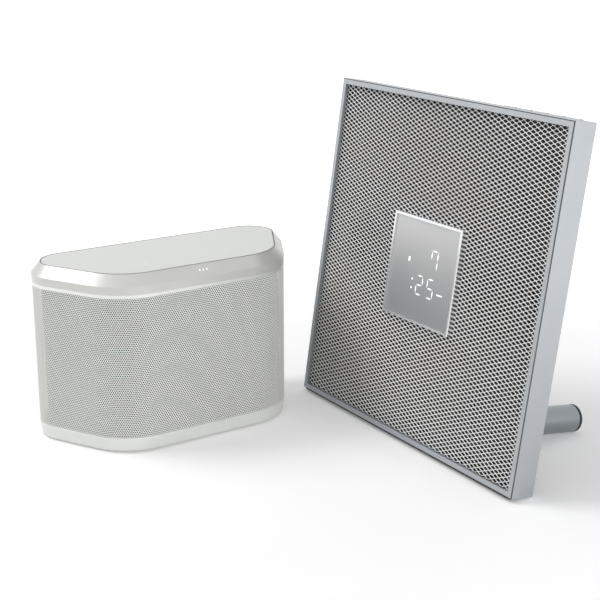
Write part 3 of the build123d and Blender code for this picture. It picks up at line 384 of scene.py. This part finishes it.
clear_selection()
bpy.ops.mesh.primitive_circle_add(vertices=6, radius=hexagon, fill_type="NGON", rotation=UPRIGHT)
perforation = added("perforation")
bake_place(perforation)
edit(perforation)
bpy.ops.mesh.inset(thickness=hexagon * (1 - HOLE_SHARE) * side_at)
bpy.ops.mesh.extrude_region_move(TRANSFORM_OT_translate={"value": (0, SHEET_THICK, 0)})
bpy.ops.mesh.delete(type="ONLY_FACE")
bpy.ops.object.mode_set(mode="OBJECT")
neighbour = copy_of(perforation, "neighbour")
neighbour.location = (HOLE_STEP / 2, 0, row_step)
strip = join([perforation, neighbour], "strip")
array(strip, pairs, (0, 0, 2 * row_step))
strip.location = (0, 0, GRILLE_LOW)
for third, name in enumerate(("left", "front", "right")):
    sheet = copy_of(strip, f"speaker_grille_{name}")
    array(sheet, columns + 1 if name == "right" else columns, (HOLE_STEP, 0, 0))
    sheet.location.x = third * columns * HOLE_STEP
    bake_place(sheet)
    merge(sheet)
    cut(sheet, (0, 0, GRILLE_LOW), (0, 0, -1))
    cut(sheet, (0, 0, GRILLE_HIGH), (0, 0, 1))
    cut(sheet, (END_GAP, 0, 0), (-1, 0, 0))
    cut(sheet, (path_length - END_GAP, 0, 0), (1, 0, 0))
    wrap = sheet.modifiers.new("wrap", "CURVE")
    wrap.object = path
    apply_all(sheet)
    settle(sheet, speaker_seat, "speaker", "grille_white", ["speaker_grille"])
bpy.data.objects.remove(strip)
bpy.data.objects.remove(path)

# %% [markdown]
# ## Lit digits
# The display shows plain seven-segment digits. Each bar is a thin hexagon with pointed ends. One
# lying bar and one standing bar are modelled, and the digits are copies of them. The bars lie on
# the window's face, where the real ones shine through it.

# %% Bars of the digits
BAR_WIDE = 1.15
BAR_GAP = 0.5
BAR_DEEP = 0.06
BAR_SUNK = 0.01
SEGMENTS = {
    "top": (0, 1, False), "middle": (0, 0, False), "bottom": (0, -1, False),
    "upper_left": (-1, 0.5, True), "upper_right": (1, 0.5, True),
    "lower_left": (-1, -0.5, True), "lower_right": (1, -0.5, True),
}
SEVEN = ("upper_left", "top", "upper_right", "lower_right")
TWO = ("top", "upper_right", "middle", "lower_left", "bottom")
FIVE = ("top", "upper_left", "middle", "lower_right", "bottom")
DIGIT_HALF_WIDE = 3.9
DIGIT_HALF_HIGH = 8.0
DIGITS = ((SEVEN, 13.9, 12.5), (TWO, -1.3, -12.0), (FIVE, 13.1, -12.0))
DOTS = (
    (-11.4, -8.5, 1.5, 1.5),
    (-11.4, -16.2, 1.5, 1.5),
    (26.3, -14.5, 7.0, 1.0),
    (-18.9, 7.4, 2.2, 3.6),
)
WINDOW_FACE = 1.6


def bar(length):
    """A flat pointed bar along x, facing forwards."""
    clear_selection()
    bpy.ops.mesh.primitive_circle_add(
        vertices=4, radius=BAR_WIDE / 2, fill_type="NGON", rotation=UPRIGHT)
    made = added("bar")
    bake_place(made)
    edit(made)
    bpy.ops.mesh.bisect(plane_co=(0, 0, 0), plane_no=(1, 0, 0))
    for side in (-1, 1):
        choose(made, "vertices", lambda at: side * at.x > ON_AXIS)
        bpy.ops.transform.translate(value=(side * (length - BAR_WIDE) / 2, 0, 0))
    bpy.ops.object.mode_set(mode="OBJECT")
    return made


def block(x, z, wide, high):
    """A flat upright rectangle, facing forwards."""
    clear_selection()
    bpy.ops.mesh.primitive_plane_add(size=1, rotation=UPRIGHT)
    made = added("dot")
    made.scale = (wide, high, 1)
    made.location = (x, 0, z)
    return made


lying = bar(2 * DIGIT_HALF_WIDE - BAR_GAP)
standing = bar(DIGIT_HALF_HIGH - BAR_GAP)
standing.rotation_euler.y = math.pi / 2
bake_place(standing)
shapes = []
for segments, digit_x, digit_z in DIGITS:
    for segment in segments:
        x, z, stands = SEGMENTS[segment]
        made = copy_of(standing if stands else lying, "bar")
        made.location = (digit_x + x * DIGIT_HALF_WIDE, 0, digit_z + z * DIGIT_HALF_HIGH)
        shapes.append(made)
shapes.extend(block(*measures) for measures in DOTS)
bpy.data.objects.remove(lying)
bpy.data.objects.remove(standing)
for shape in shapes:
    bake_place(shape)
digits = join(shapes, "panel_display_digits")
thicken(digits, (0, -BAR_DEEP, 0))
digits.location = (0, WINDOW_FACE - BAR_SUNK, PANEL_MIDDLE)
settle(digits, panel_seat, "panel", "light_lens", ["panel_display_lights"])

# %% [markdown]
# ## Seal round the touch panel
# A thin soft seal fills the joint between the touch panel and the bevelled ring. It follows the
# same outline as the grille, only further in, so a closed curve with a round bevel makes it.

# %% The seal
TOUCH_TOP = 157.0
SEAL_INSET = 8.05
SEAL_RADIUS = 0.3
SEAL_SUNK = 0.12
seal_level = TOUCH_TOP - SEAL_SUNK
seal_points = [(at.x, at.y, seal_level) for at in outline(SEAL_INSET)]
seal = poly_curve("speaker_touch_seal", seal_points, closed=True)
seal.data.bevel_depth = SEAL_RADIUS
seal.data.bevel_resolution = 1
only(seal)
bpy.ops.object.convert(target="MESH")
seal = added("speaker_touch_seal")
settle(seal, speaker_seat, "speaker", "rubber_black")

# %% [markdown]
# ## Touch marks
# Four faint marks on the touch panel show where to press. They are printed, so here they are
# thin inlays just proud of the panel: a ring, a bar, a cross and a triangle.

# %% Marks on the touch panel
MARK_BACK = 33.0
MARK_PROUD = 0.03
MARK_RADIUS = 2.6
LINE = 0.5
RING_SIDES = 28
POWER_X, MINUS_X, PLUS_X, PLAY_X = -39, -13, 13, 39
MARK_BARS = (
    (POWER_X, 2.6, LINE, 2.4),
    (POWER_X, -5.0, 6.0, LINE),
    (MINUS_X, 0, 4.6, LINE),
    (PLUS_X, 0, 4.6, LINE),
    (PLUS_X, 1.4, LINE, 1.8),
    (PLUS_X, -1.4, LINE, 1.8),
)


def flat_ring(x, sides, turn=0):
    """A thin ring with so many sides, lying flat."""
    clear_selection()
    bpy.ops.mesh.primitive_circle_add(
        vertices=sides, radius=MARK_RADIUS, fill_type="NGON",
        location=(x, MARK_BACK, 0), rotation=(0, 0, turn),
    )
    made = added("mark")
    edit(made)
    bpy.ops.mesh.inset(thickness=LINE)
    bpy.ops.mesh.delete(type="FACE")
    bpy.ops.object.mode_set(mode="OBJECT")
    return made


def flat_bar(x, behind, wide, high):
    """A thin rectangle lying flat, so far behind the middle of its mark."""
    clear_selection()
    bpy.ops.mesh.primitive_plane_add(size=1, location=(x, MARK_BACK + behind, 0))
    made = added("mark")
    made.scale = (wide, high, 1)
    return made


shapes = [flat_ring(POWER_X, RING_SIDES)]
shapes.extend(flat_bar(*measures) for measures in MARK_BARS)
shapes.append(flat_ring(PLAY_X, 3, -math.pi / 2))
for shape in shapes:
    bake_place(shape)
marks = join(shapes, "speaker_touch_marks")
thicken(marks, (0, 0, MARK_PROUD))
marks.location = (0, 0, TOUCH_TOP)
settle(marks, speaker_seat, "speaker", "touch_panel")

# %% [markdown]
# ## Writing finishes as sums
# Most finishes are small sums over the surface: some noise, a stretch along the grain, a mask.
# Signal wraps one socket, so that a sum in Python adds the Math nodes it needs. Wiring is a tree
# of nodes, and its one method, node, adds any other node. Finish is the wiring of a material.

# %% Signal, Wiring and Finish
class Signal:
    """One output socket that can stand in a sum."""

    def __init__(self, wiring, socket):
        self.wiring, self.socket = wiring, socket

    def math(self, operation, other, swapped=False):
        terms = (other, self) if swapped else (self, other)
        return self.wiring.node("ShaderNodeMath", {"operation": operation}, dict(enumerate(terms)))

    def __add__(self, other):
        return self.math("ADD", other)

    def __sub__(self, other):
        return self.math("SUBTRACT", other)

    def __rsub__(self, other):
        return self.math("SUBTRACT", other, swapped=True)

    def __mul__(self, other):
        return self.math("MULTIPLY", other)

    def __gt__(self, other):
        return self.math("GREATER_THAN", other)

    def __lt__(self, other):
        return self.math("LESS_THAN", other)

    def __abs__(self):
        return self.math("ABSOLUTE", 0)

    def at_least(self, other):
        return self.math("MAXIMUM", other)

    __radd__ = __add__
    __rmul__ = __mul__


class Wiring:
    """A tree of nodes."""

    def __init__(self, tree):
        self.tree = tree

    def node(self, kind, settings=None, sockets=None, output=0):
        """Add a node, set it, feed its sockets and return one of its outputs."""
        made = self.tree.nodes.new(kind)
        for name, value in (settings or {}).items():
            setattr(made, name, value)
        for name, value in (sockets or {}).items():
            self.feed(made.inputs[name], value)
        return Signal(self, made.outputs[output])

    def feed(self, socket, value):
        """Give a socket a link or a plain value."""
        if isinstance(value, Signal):
            self.tree.links.new(value.socket, socket)
        else:
            socket.default_value = value

    def rays(self, *kinds):
        """1 for a ray of any of these kinds, and 0 for the others."""
        outputs = self.node("ShaderNodeLightPath").socket.node.outputs
        first, *others = (Signal(self, outputs[f"Is {kind} Ray"]) for kind in kinds)
        for other in others:
            first = first.at_least(other)
        return first


class Finish(Wiring):
    """A material: its constant values are set on the shader, and the rest is fed by nodes."""

    def __init__(self, name, **constants):
        self.material = bpy.data.materials.new(name)
        self.material.use_nodes = True
        super().__init__(self.material.node_tree)
        self.shader = self.tree.nodes["Principled BSDF"]
        self.set(**constants)

    def set(self, **values):
        """Feed the shader's own sockets."""
        for name, value in values.items():
            self.feed(self.shader.inputs[name.replace("_", " ")], value)
        return self

    def point(self, seat=None, stretch=(1, 1, 1)):
        """Object coordinates in millimetres, in a unit's own frame, divided by a stretch."""
        move, turn, _ = (seat or Matrix.Scale(MM, 4)).decompose()
        surface = self.node("ShaderNodeTexCoord", output=3)
        return self.node("ShaderNodeMapping", {"vector_type": "TEXTURE"}, {
            "Vector": surface, "Location": move, "Rotation": turn.to_euler(),
            "Scale": tuple(MM * s for s in stretch),
        })

    def noise(self, at, scale, detail=3.0, rough=0.55):
        """Soft random shades from 0 to 1, with scale in turns per millimetre."""
        return self.node("ShaderNodeTexNoise", None, {
            "Vector": at, "Scale": scale, "Detail": detail, "Roughness": rough,
        })

    def mix(self, factor, first, second):
        """A colour between two colours."""
        return self.node("ShaderNodeMix", {"data_type": "RGBA"}, {0: factor, 6: first, 7: second}, 2)

    def smooth(self, value, low, high, start=0.0, end=1.0):
        """A value eased from start to end as it goes from low to high."""
        return self.node("ShaderNodeMapRange", {"interpolation_type": "SMOOTHSTEP"}, {
            "Value": value, "From Min": low, "From Max": high, "To Min": start, "To Max": end,
        })

    def bump(self, height, strength, microns):
        """Feed the shader's normal with small dents, so many microns deep."""
        self.set(Normal=self.node("ShaderNodeBump", None, {
            "Height": height, "Strength": strength, "Distance": microns * MICRON,
        }))
        return self

    def axes(self, at):
        """The x, y and z of a point."""
        split = self.node("ShaderNodeSeparateXYZ", None, {"Vector": at})
        outputs = split.socket.node.outputs
        return [Signal(self, outputs[i]) for i in range(3)]


MICRON = 0.000001
BLACK = (0, 0, 0, 1)
WHITE = (1, 1, 1, 1)


def paint(red, green, blue):
    """A colour as it looks on a screen, from 0 to 255, as the light values that a shader wants."""
    shades = [value / 255 for value in (red, green, blue)]
    return tuple(s / 12.92 if s <= 0.04045 else ((s + 0.055) / 1.055) ** 2.4 for s in shades) + (1,)


def darker(colour, share):
    """A colour with only a share of its light."""
    return tuple(c * share for c in colour[:3]) + (1,)


def put_on(piece, finish):
    """Give a piece its one finish."""
    piece.data.materials.clear()
    piece.data.materials.append(finish.material)


finishes = {}


# %% [markdown]
# ## Moulded and painted surfaces
# Plastic has a fine even texture from its mould, and its gloss varies a little. Paint is
# smoother, with a faint ripple. Both are one recipe with different numbers.

# %% Plastics, rubber and paint
def moulded(name, colour, rough, grain=2.2, microns=20, shade=0.04):
    """Plastic or paint with a fine texture and slightly uneven colour and gloss."""
    made = Finish(name)
    at = made.point()
    texture = made.noise(at, grain, 2.0)
    patches = made.noise(at, 0.03, 2.0)
    made.set(
        Base_Color=made.mix(texture * 0.5 + patches * 0.5, darker(colour, 1 - 2 * shade), colour),
        Roughness=patches * 0.1 + texture * 0.06 + (rough - 0.08),
    )
    return made.bump(texture, 0.5, microns)


finishes["rubber_black"] = moulded("soft_rubber", paint(34, 34, 36), 0.75, grain=1.5, microns=50)
finishes["plastic_black"] = moulded("black_housing", paint(16, 16, 17), 0.7, grain=1.6, microns=40)
finishes["socket_black"] = moulded("socket_plastic", paint(24, 24, 26), 0.45)
finishes["plastic_white"] = moulded(
    "white_housing", paint(226, 228, 225), 0.5, grain=1.4, microns=40)
finishes["cover_grey"] = moulded(
    "grey_rear_cover", paint(98, 100, 104), 0.55, grain=1.2, microns=60)
finishes["grille_white"] = moulded(
    "white_powder_coat", paint(250, 251, 247), 0.5, grain=3.0, microns=8)
finishes["mesh_white"] = moulded(
    "white_mesh_paint", paint(255, 255, 255), 0.45, grain=2.0, microns=10, shade=0.02)
finishes["touch_panel"] = moulded(
    "satin_touch_panel", paint(224, 226, 223), 0.34, grain=3.0, microns=6, shade=0.01)
finishes["radiator_rubber"] = moulded("radiator_rubber", paint(28, 28, 30), 0.6)
finishes["cone_paper"] = moulded(
    "pressed_paper_cone", paint(18, 18, 19), 0.85, grain=0.9, microns=80, shade=0.1)
print(len(finishes), "moulded and painted finishes")

# %% [markdown]
# ## Metals
# Brushed metal is noise stretched along the brushing direction, in both its gloss and its
# height. A stretch of 60 makes a scratch sixty times as long as it is wide. A turned leg is
# brushed along its own length, and a plain casting has the same fine noise in every direction.

# %% Metals
def metal(name, colour, rough, scale=3.0, shine=0.9, stretch=(1, 1, 1), seat=None):
    """Metal with a fine grain, drawn out along an axis by the stretch."""
    made = Finish(name, Metallic=shine)
    grain = made.noise(made.point(seat, stretch), scale, 3.0, 0.6)
    patches = made.noise(made.point(seat), 0.02, 2.0)
    made.set(
        Base_Color=made.mix(grain * 0.6 + patches * 0.4, darker(colour, 0.86), colour),
        Roughness=grain * 0.16 + patches * 0.06 + (rough - 0.1),
    )
    return made.bump(grain, 0.5, 6)


ROUND = (60, 60, 1)
FINE_ROUND = (30, 30, 1)
finishes["base_metal"] = metal(
    "brushed_base", paint(240, 242, 239), 0.42, scale=2.5, shine=0.3, stretch=ROUND)
finishes["trim_bright"] = metal(
    "bright_trim", paint(238, 240, 238), 0.3, scale=2.0, shine=0.5, stretch=FINE_ROUND)
finishes["pressed_steel"] = metal("pressed_steel", paint(34, 34, 36), 0.6, shine=0.3)
finishes["plate_steel"] = metal("zinc_plate", paint(176, 180, 184), 0.35, stretch=(1, 20, 1))
finishes["screw_steel"] = metal("screw_steel", paint(70, 71, 74), 0.35)
finishes["socket_steel"] = metal("socket_shell", paint(188, 190, 194), 0.28)
finishes["insert_brass"] = metal("insert_brass", paint(204, 170, 104), 0.3)
finishes["magnet_iron"] = metal("magnet_iron", paint(66, 66, 70), 0.5)
finishes["display_chrome"] = metal(
    "display_chrome", paint(246, 247, 249), 0.16, scale=1.0, shine=0.8, seat=panel_seat)
finishes["leg_metal"] = metal(
    "turned_leg", paint(150, 156, 160), 0.34, scale=2.0, stretch=(1, 40, 1), seat=panel_seat)
finishes["button_aluminium"] = metal(
    "button_aluminium", paint(196, 199, 202), 0.35, stretch=(20, 1, 1), seat=panel_seat)
print(len(finishes), "finishes with the metals")

# %% [markdown]
# ## The panel's frame
# The frame is an aluminium profile, blasted to a satin. Its narrow front chamfers are polished,
# and their colour carries a painted dark reflection, so a mask finds them by their place on the
# panel: near the front, and near a side or an end.

# %% The panel's frame, with a painted dark reflection on its polished edges
CHAMFER = 0.82
frame_finish = Finish("frame_aluminium", Metallic=0.85)
local = frame_finish.point(panel_seat)
x, y, z = frame_finish.axes(local)
from_side = PANEL_MIDDLE - abs(x)
from_end = PANEL_MIDDLE - abs(z - PANEL_MIDDLE)
near_front = y < CHAMFER
dark_reflection_side = (from_side < CHAMFER) * near_front
dark_reflection_end = (from_end < CHAMFER) * near_front
# Painted reflection: the polished chamfers are coloured dark grey for the dark that they reflect.
painted_dark_reflection = dark_reflection_side.at_least(dark_reflection_end)
blasted = frame_finish.noise(local, 2.5, 3.0, 0.6)
patches = frame_finish.noise(local, 0.02, 2.0)
tone = blasted * 0.5 + patches * 0.5
satin = frame_finish.mix(tone, paint(170, 174, 178), paint(190, 194, 198))
frame_finish.set(
    Base_Color=frame_finish.mix(painted_dark_reflection, satin, paint(96, 98, 102)),
    Roughness=(blasted * 0.16 + patches * 0.05 + 0.3) * (1 - painted_dark_reflection * 0.6),
)
finishes["frame_aluminium"] = frame_finish.bump(blasted, 0.4, 5)

# %% [markdown]
# ## Pearl top ring
# The speaker's upper band and bevel are satin plastic with a pearl in it: part metal, part
# white, under a thin clear coat. Fine noise stands for the flakes.

# %% Pearl plastic
pearl = Finish("pearl_plastic", Metallic=0.3, Coat_Roughness=0.2)
at = pearl.point()
flakes = pearl.noise(at, 6.0, 1.0)
patches = pearl.noise(at, 0.02, 2.0)
tone = flakes * 0.6 + patches * 0.4
pearl.set(
    Base_Color=pearl.mix(tone, paint(198, 198, 195), paint(218, 218, 215)),
    Roughness=flakes * 0.12 + patches * 0.04 + 0.28,
    Coat_Weight=patches * 0.1 + 0.2,
)
finishes["pearl_plastic"] = pearl.bump(flakes, 0.3, 4)

# %% [markdown]
# ## Display window and lights
# The window is a half-silvered pane: a grey mirror with a painted reflection that makes it paler
# at its top. The lit digits glow, which is the shader's Emission.

# %% Window and digits
REFLECTION_FADE_FROM = PANEL_MIDDLE - 44
REFLECTION_FADE_TO = PANEL_MIDDLE + 48
window = Finish("display_window", Metallic=0.3, Coat_Weight=0.3, Coat_Roughness=0.1)
local = window.point(panel_seat)
cloud = window.noise(local, 0.02, 2.0)
# Painted reflection: the pane's colour grows paler from its lower part to its top.
height = window.smooth(window.axes(local)[2] + cloud * 8.0, REFLECTION_FADE_FROM, REFLECTION_FADE_TO)
window.set(
    Base_Color=window.mix(height, paint(166, 168, 171), paint(212, 212, 213)),
    Roughness=cloud * 0.08 + 0.3,
)
finishes["display_window"] = window

lit = Finish("lit_white", Emission_Strength=1.0)
haze = lit.noise(lit.point(), 0.3, 1.0)
glow = lit.mix(haze, paint(244, 246, 250), paint(255, 255, 255))
lit.set(Base_Color=glow, Emission_Color=glow, Roughness=haze * 0.1 + 0.3)
finishes["light_lens"] = lit

# %% [markdown]
# Each status light is a small frosted lens in the bevel. Only a spot in its middle glows, as over
# a real lamp, so the three stay apart. The spots are found by their distance from the nearest
# whole step across the speaker.

# %% Status lights
LIGHTS_ACROSS = 3.4
SPOT_RADIUS = 0.45
lens = Finish("status_lens", Emission_Strength=1.0)
x = lens.axes(lens.point(speaker_seat))[0]
nearest_light = (x * (1 / LIGHTS_ACROSS)).math("ROUND", 0) * LIGHTS_ACROSS
lens_lit = abs(nearest_light - x) < SPOT_RADIUS
frosting = lens.noise(lens.point(), 3.0, 1.0)
lens.set(
    Base_Color=lens.mix(frosting, paint(196, 196, 194), paint(214, 214, 211)),
    Emission_Color=lens.mix(lens_lit, BLACK, WHITE),
    Roughness=frosting * 0.1 + 0.3,
)

# %% [markdown]
# ## Circuit boards
# Boards are green lacquer over copper tracks. A brick pattern gives the tracks, and noise over
# it breaks up their colour.

# %% Boards
board = Finish("circuit_board")
at = board.point()
tracks = board.node("ShaderNodeTexBrick", {"offset": 0.35}, {
    "Vector": at, "Scale": 0.4, "Mortar Size": 0.04,
    "Color1": WHITE, "Color2": (0.7, 0.7, 0.7, 1), "Mortar": BLACK,
})
speckle = board.noise(at, 0.5, 4.0)
board.set(
    Base_Color=board.mix(tracks * speckle, paint(40, 74, 52), paint(30, 96, 60)),
    Roughness=speckle * 0.2 + 0.3,
)
finishes["circuit_board"] = board.bump(tracks, 0.4, 30)

# %% [markdown]
# ## Dress every piece
# Each CAD node names its slot in the record, so its material can be swapped by that name. The
# status lights, the seal and the touch marks share a slot with other pieces but look different,
# so they get a finish of their own.

# %% Put the finishes on
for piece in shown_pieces():
    slot = piece.get("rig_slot")
    if slot is None:
        slot = piece.data.materials[0].name.split(".")[0]
    put_on(piece, finishes[slot])

put_on(bpy.data.objects["speaker_status_lights"], lens)
put_on(seal, moulded("seal_grey", paint(122, 124, 122), 0.6, 1.5, 10))
put_on(marks, moulded("touch_mark_print", paint(244, 245, 244), 0.4, 3.0, 4, 0.01))

# %% [markdown]
# ## Studio
# A plain white floor, a white surround and soft lamps. The surround is full white to the camera
# and in reflections, but lights the object at a lower level, so the white paint keeps its
# shading. The floor glows a little to the camera and in reflections, and more with distance,
# which keeps it white all round while the shadows near the object stay.

# %% Floor and surround
AMBIENT = 0.4
FLOOR_SIZE = 14
GLOW_NEAR = 0.18
GLOW_FAR = 0.7
GLOW_FROM = 0.2
GLOW_TO = 1.2
clear_selection()
bpy.ops.mesh.primitive_plane_add(size=FLOOR_SIZE)
floor = added("studio_floor")
ground = Finish("studio_floor", Roughness=0.9, Emission_Strength=1.0)
spot = ground.node("ShaderNodeTexCoord", output=3)
distance = ground.node("ShaderNodeVectorMath", {"operation": "LENGTH"}, {0: spot}, 1)
seen = ground.rays("Camera", "Glossy")
glow = ground.smooth(distance, GLOW_FROM, GLOW_TO, GLOW_NEAR, GLOW_FAR) * seen
ground.set(Base_Color=paint(250, 250, 250), Emission_Color=ground.mix(glow, BLACK, WHITE))
put_on(floor, ground)

world = bpy.data.worlds.new("studio")
bpy.context.scene.world = world
world.use_nodes = True
surround = Wiring(world.node_tree)
sky = world.node_tree.nodes["Background"]
sky.inputs["Color"].default_value = WHITE
seen = surround.rays("Camera", "Glossy", "Transmission")
surround.feed(sky.inputs["Strength"], seen * (1 - AMBIENT) + AMBIENT)


# %% Lamps
LAMPS_AIM = Vector((0, 0, 0.12))


def lamp(name, place, size, watts):
    """A square soft lamp that faces the middle of the row."""
    clear_selection()
    bpy.ops.object.light_add(type="AREA", location=place)
    made = bpy.context.active_object
    made.name = name
    made.data.size = size
    made.data.energy = watts
    made.rotation_euler = (LAMPS_AIM - Vector(place)).to_track_quat("-Z", "Y").to_euler()
    print(name, watts, "watts")


lamp("key_front", (0.2, -2.1, 0.6), 1.0, 15)
lamp("high_left", (-1.15, 1.0, 1.75), 1.0, 20)
lamp("overhead", (0.1, 0.4, 2.2), 1.2, 5)

# %% [markdown]
# A long lens keeps the two units' proportions true. The camera stands to the left and a little
# above, where it sees the speaker's top and both of its rounded corners, and the panel's front.

# %% Camera
CAMERA_AT = (-0.5815, -0.8547, 0.4458)
CAMERA_YAW = math.radians(33.0)
CAMERA_DIP = math.radians(17.0)
CAMERA_LENS = 77.1
clear_selection()
bpy.ops.object.camera_add(location=CAMERA_AT)
camera = bpy.context.active_object
sight = Vector((
    math.sin(CAMERA_YAW) * math.cos(CAMERA_DIP),
    math.cos(CAMERA_YAW) * math.cos(CAMERA_DIP),
    -math.sin(CAMERA_DIP),
))
camera.rotation_euler = sight.to_track_quat("-Z", "Y").to_euler()
camera.data.lens = CAMERA_LENS
camera.data.sensor_width = 36
camera.data.clip_start = 0.05
bpy.context.scene.camera = camera
bpy.context.scene.view_settings.view_transform = "Standard"
print("the camera stands", round(CAMERA_AT[2] / MM), "mm high")
